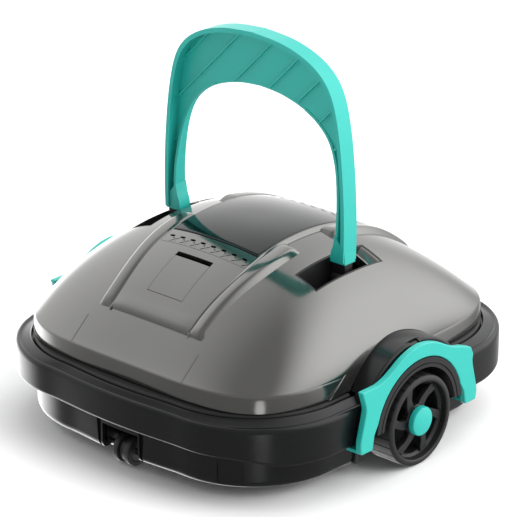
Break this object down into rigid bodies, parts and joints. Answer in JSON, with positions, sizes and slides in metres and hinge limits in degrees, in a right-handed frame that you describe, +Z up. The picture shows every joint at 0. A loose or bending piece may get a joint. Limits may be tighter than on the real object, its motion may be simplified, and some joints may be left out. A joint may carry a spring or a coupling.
{
  "type": "pool cleaner",
  "caption": "Cordless pool floor cleaner: domed shell on a dark tray with a bumper rim, side wheels, end rollers, tilting carrying handle, side latches and a hatch over its button and socket.",
  "frame": {"origin": "on the ground under the middle of the cleaner", "axes": "+Z up, +X along the wheel axles, -Y towards the front, where the hatch is"},
  "size_m": [0.363, 0.362, 0.334],
  "materials": {
    "grey_shell": "gloss",
    "smoked_window": "gloss",
    "dark_plastic": "satin",
    "black_plastic": "matte",
    "teal_plastic": "satin",
    "rubber": "matte",
    "tyre_rubber": "matte",
    "steel": "brushed",
    "white_plastic": "satin",
    "board_green": "satin"
  },
  "bodies": {
    "hull": {"top_shell": "grey_shell", "centre_cover": "grey_shell", "vent_strip_front": "grey_shell", "vent_strip_rear": "grey_shell", "crest_window": "smoked_window", "base_tray": "dark_plastic", "bumper_rim": "dark_plastic", "inner_deck": "dark_plastic", "fender_left": "black_plastic", "fender_right": "black_plastic", "hatch_well": "black_plastic", "charging_port": "black_plastic", "handle_well_left": "black_plastic", "handle_well_right": "black_plastic", "battery_pack": "black_plastic", "filter_mesh": "black_plastic", "rim_seal_front": "rubber", "rim_seal_rear": "rubber", "hatch_pin": "steel", "handle_pin_left": "steel", "handle_pin_right": "steel", "latch_pin_left": "steel", "latch_pin_right": "steel", "drive_motor_left": "steel", "drive_motor_right": "steel", "front_roller_axle": "steel", "rear_roller_axle": "steel", "deck_screw_left": "steel", "deck_screw_right": "steel", "pump_motor": "steel", "pump_housing": "white_plastic", "filter_frame": "white_plastic", "control_box": "board_green"},
    "handle": {"handle": "teal_plastic"},
    "right_latch": {"side_latch_right": "teal_plastic"},
    "left_latch": {"side_latch_left": "teal_plastic"},
    "hatch": {"hatch_door": "grey_shell"},
    "button": {"power_button": "teal_plastic"},
    "right_wheel": {"tyre_right": "tyre_rubber", "wheel_rim_right": "black_plastic", "hub_cap_right": "teal_plastic", "axle_right": "steel", "wheel_gear_right": "white_plastic"},
    "left_wheel": {"tyre_left": "tyre_rubber", "wheel_rim_left": "black_plastic", "hub_cap_left": "teal_plastic", "axle_left": "steel", "wheel_gear_left": "white_plastic"},
    "right_pinion": {"drive_pinion_right": "steel"},
    "left_pinion": {"drive_pinion_left": "steel"},
    "front_roller": {"front_roller": "black_plastic", "front_roller_tyre_left": "tyre_rubber", "front_roller_tyre_right": "tyre_rubber"},
    "rear_roller": {"rear_roller": "black_plastic", "rear_roller_tyre_left": "tyre_rubber", "rear_roller_tyre_right": "tyre_rubber"},
    "impeller": {"impeller": "white_plastic"},
    "front_flap": {"intake_flap_front": "rubber"},
    "rear_flap": {"intake_flap_rear": "rubber"}
  },
  "joints": [
    {"name": "handle_tilt", "type": "hinge", "parent": "hull", "child": "handle", "pos_m": [0, 0, 0.14], "axis": [1, 0, 0], "range_deg": [-25, 60]},
    {"name": "latch_right_swing", "type": "hinge", "parent": "hull", "child": "right_latch", "pos_m": [0.167, 0, 0.1033], "axis": [0, -1, 0], "range_deg": [0, 60]},
    {"name": "latch_left_swing", "type": "hinge", "parent": "hull", "child": "left_latch", "pos_m": [-0.167, 0, 0.1033], "axis": [0, 1, 0], "range_deg": [0, 60]},
    {"name": "hatch_swing", "type": "hinge", "parent": "hull", "child": "hatch", "pos_m": [0, -0.1112, 0.1347], "axis": [1, 0, 0], "range_deg": [0, 85]},
    {"name": "button_press", "type": "slide", "parent": "hull", "child": "button", "axis": [0, 0.5033, -0.8641], "range_m": [0, 0.002], "stiffness_N_per_m": 400},
    {"name": "wheel_right_spin", "type": "hinge", "parent": "hull", "child": "right_wheel", "pos_m": [0.1627, 0, 0.039], "axis": [1, 0, 0], "continuous": true},
    {"name": "wheel_left_spin", "type": "hinge", "parent": "hull", "child": "left_wheel", "pos_m": [-0.1627, 0, 0.039], "axis": [1, 0, 0], "continuous": true},
    {"name": "pinion_right_spin", "type": "hinge", "parent": "hull", "child": "right_pinion", "pos_m": [0.126, 0.024, 0.039], "axis": [1, 0, 0], "continuous": true},
    {"name": "pinion_left_spin", "type": "hinge", "parent": "hull", "child": "left_pinion", "pos_m": [-0.126, 0.024, 0.039], "axis": [1, 0, 0], "continuous": true},
    {"name": "front_roller_spin", "type": "hinge", "parent": "hull", "child": "front_roller", "pos_m": [0, -0.156, 0.0125], "axis": [1, 0, 0], "continuous": true},
    {"name": "rear_roller_spin", "type": "hinge", "parent": "hull", "child": "rear_roller", "pos_m": [0, 0.156, 0.0125], "axis": [1, 0, 0], "continuous": true},
    {"name": "impeller_spin", "type": "hinge", "parent": "hull", "child": "impeller", "pos_m": [0, 0, 0.117], "axis": [0, 0, 1], "continuous": true},
    {"name": "flap_front_swing", "type": "hinge", "parent": "hull", "child": "front_flap", "pos_m": [0, -0.06, 0.0172], "axis": [1, 0, 0], "range_deg": [0, 50]},
    {"name": "flap_rear_swing", "type": "hinge", "parent": "hull", "child": "rear_flap", "pos_m": [0, 0.06, 0.0172], "axis": [-1, 0, 0], "range_deg": [0, 50]}
  ],
  "couplings": [
    {"joint": "pinion_right_spin", "follows": "wheel_right_spin", "ratio": -3},
    {"joint": "pinion_left_spin", "follows": "wheel_left_spin", "ratio": -3}
  ]
}
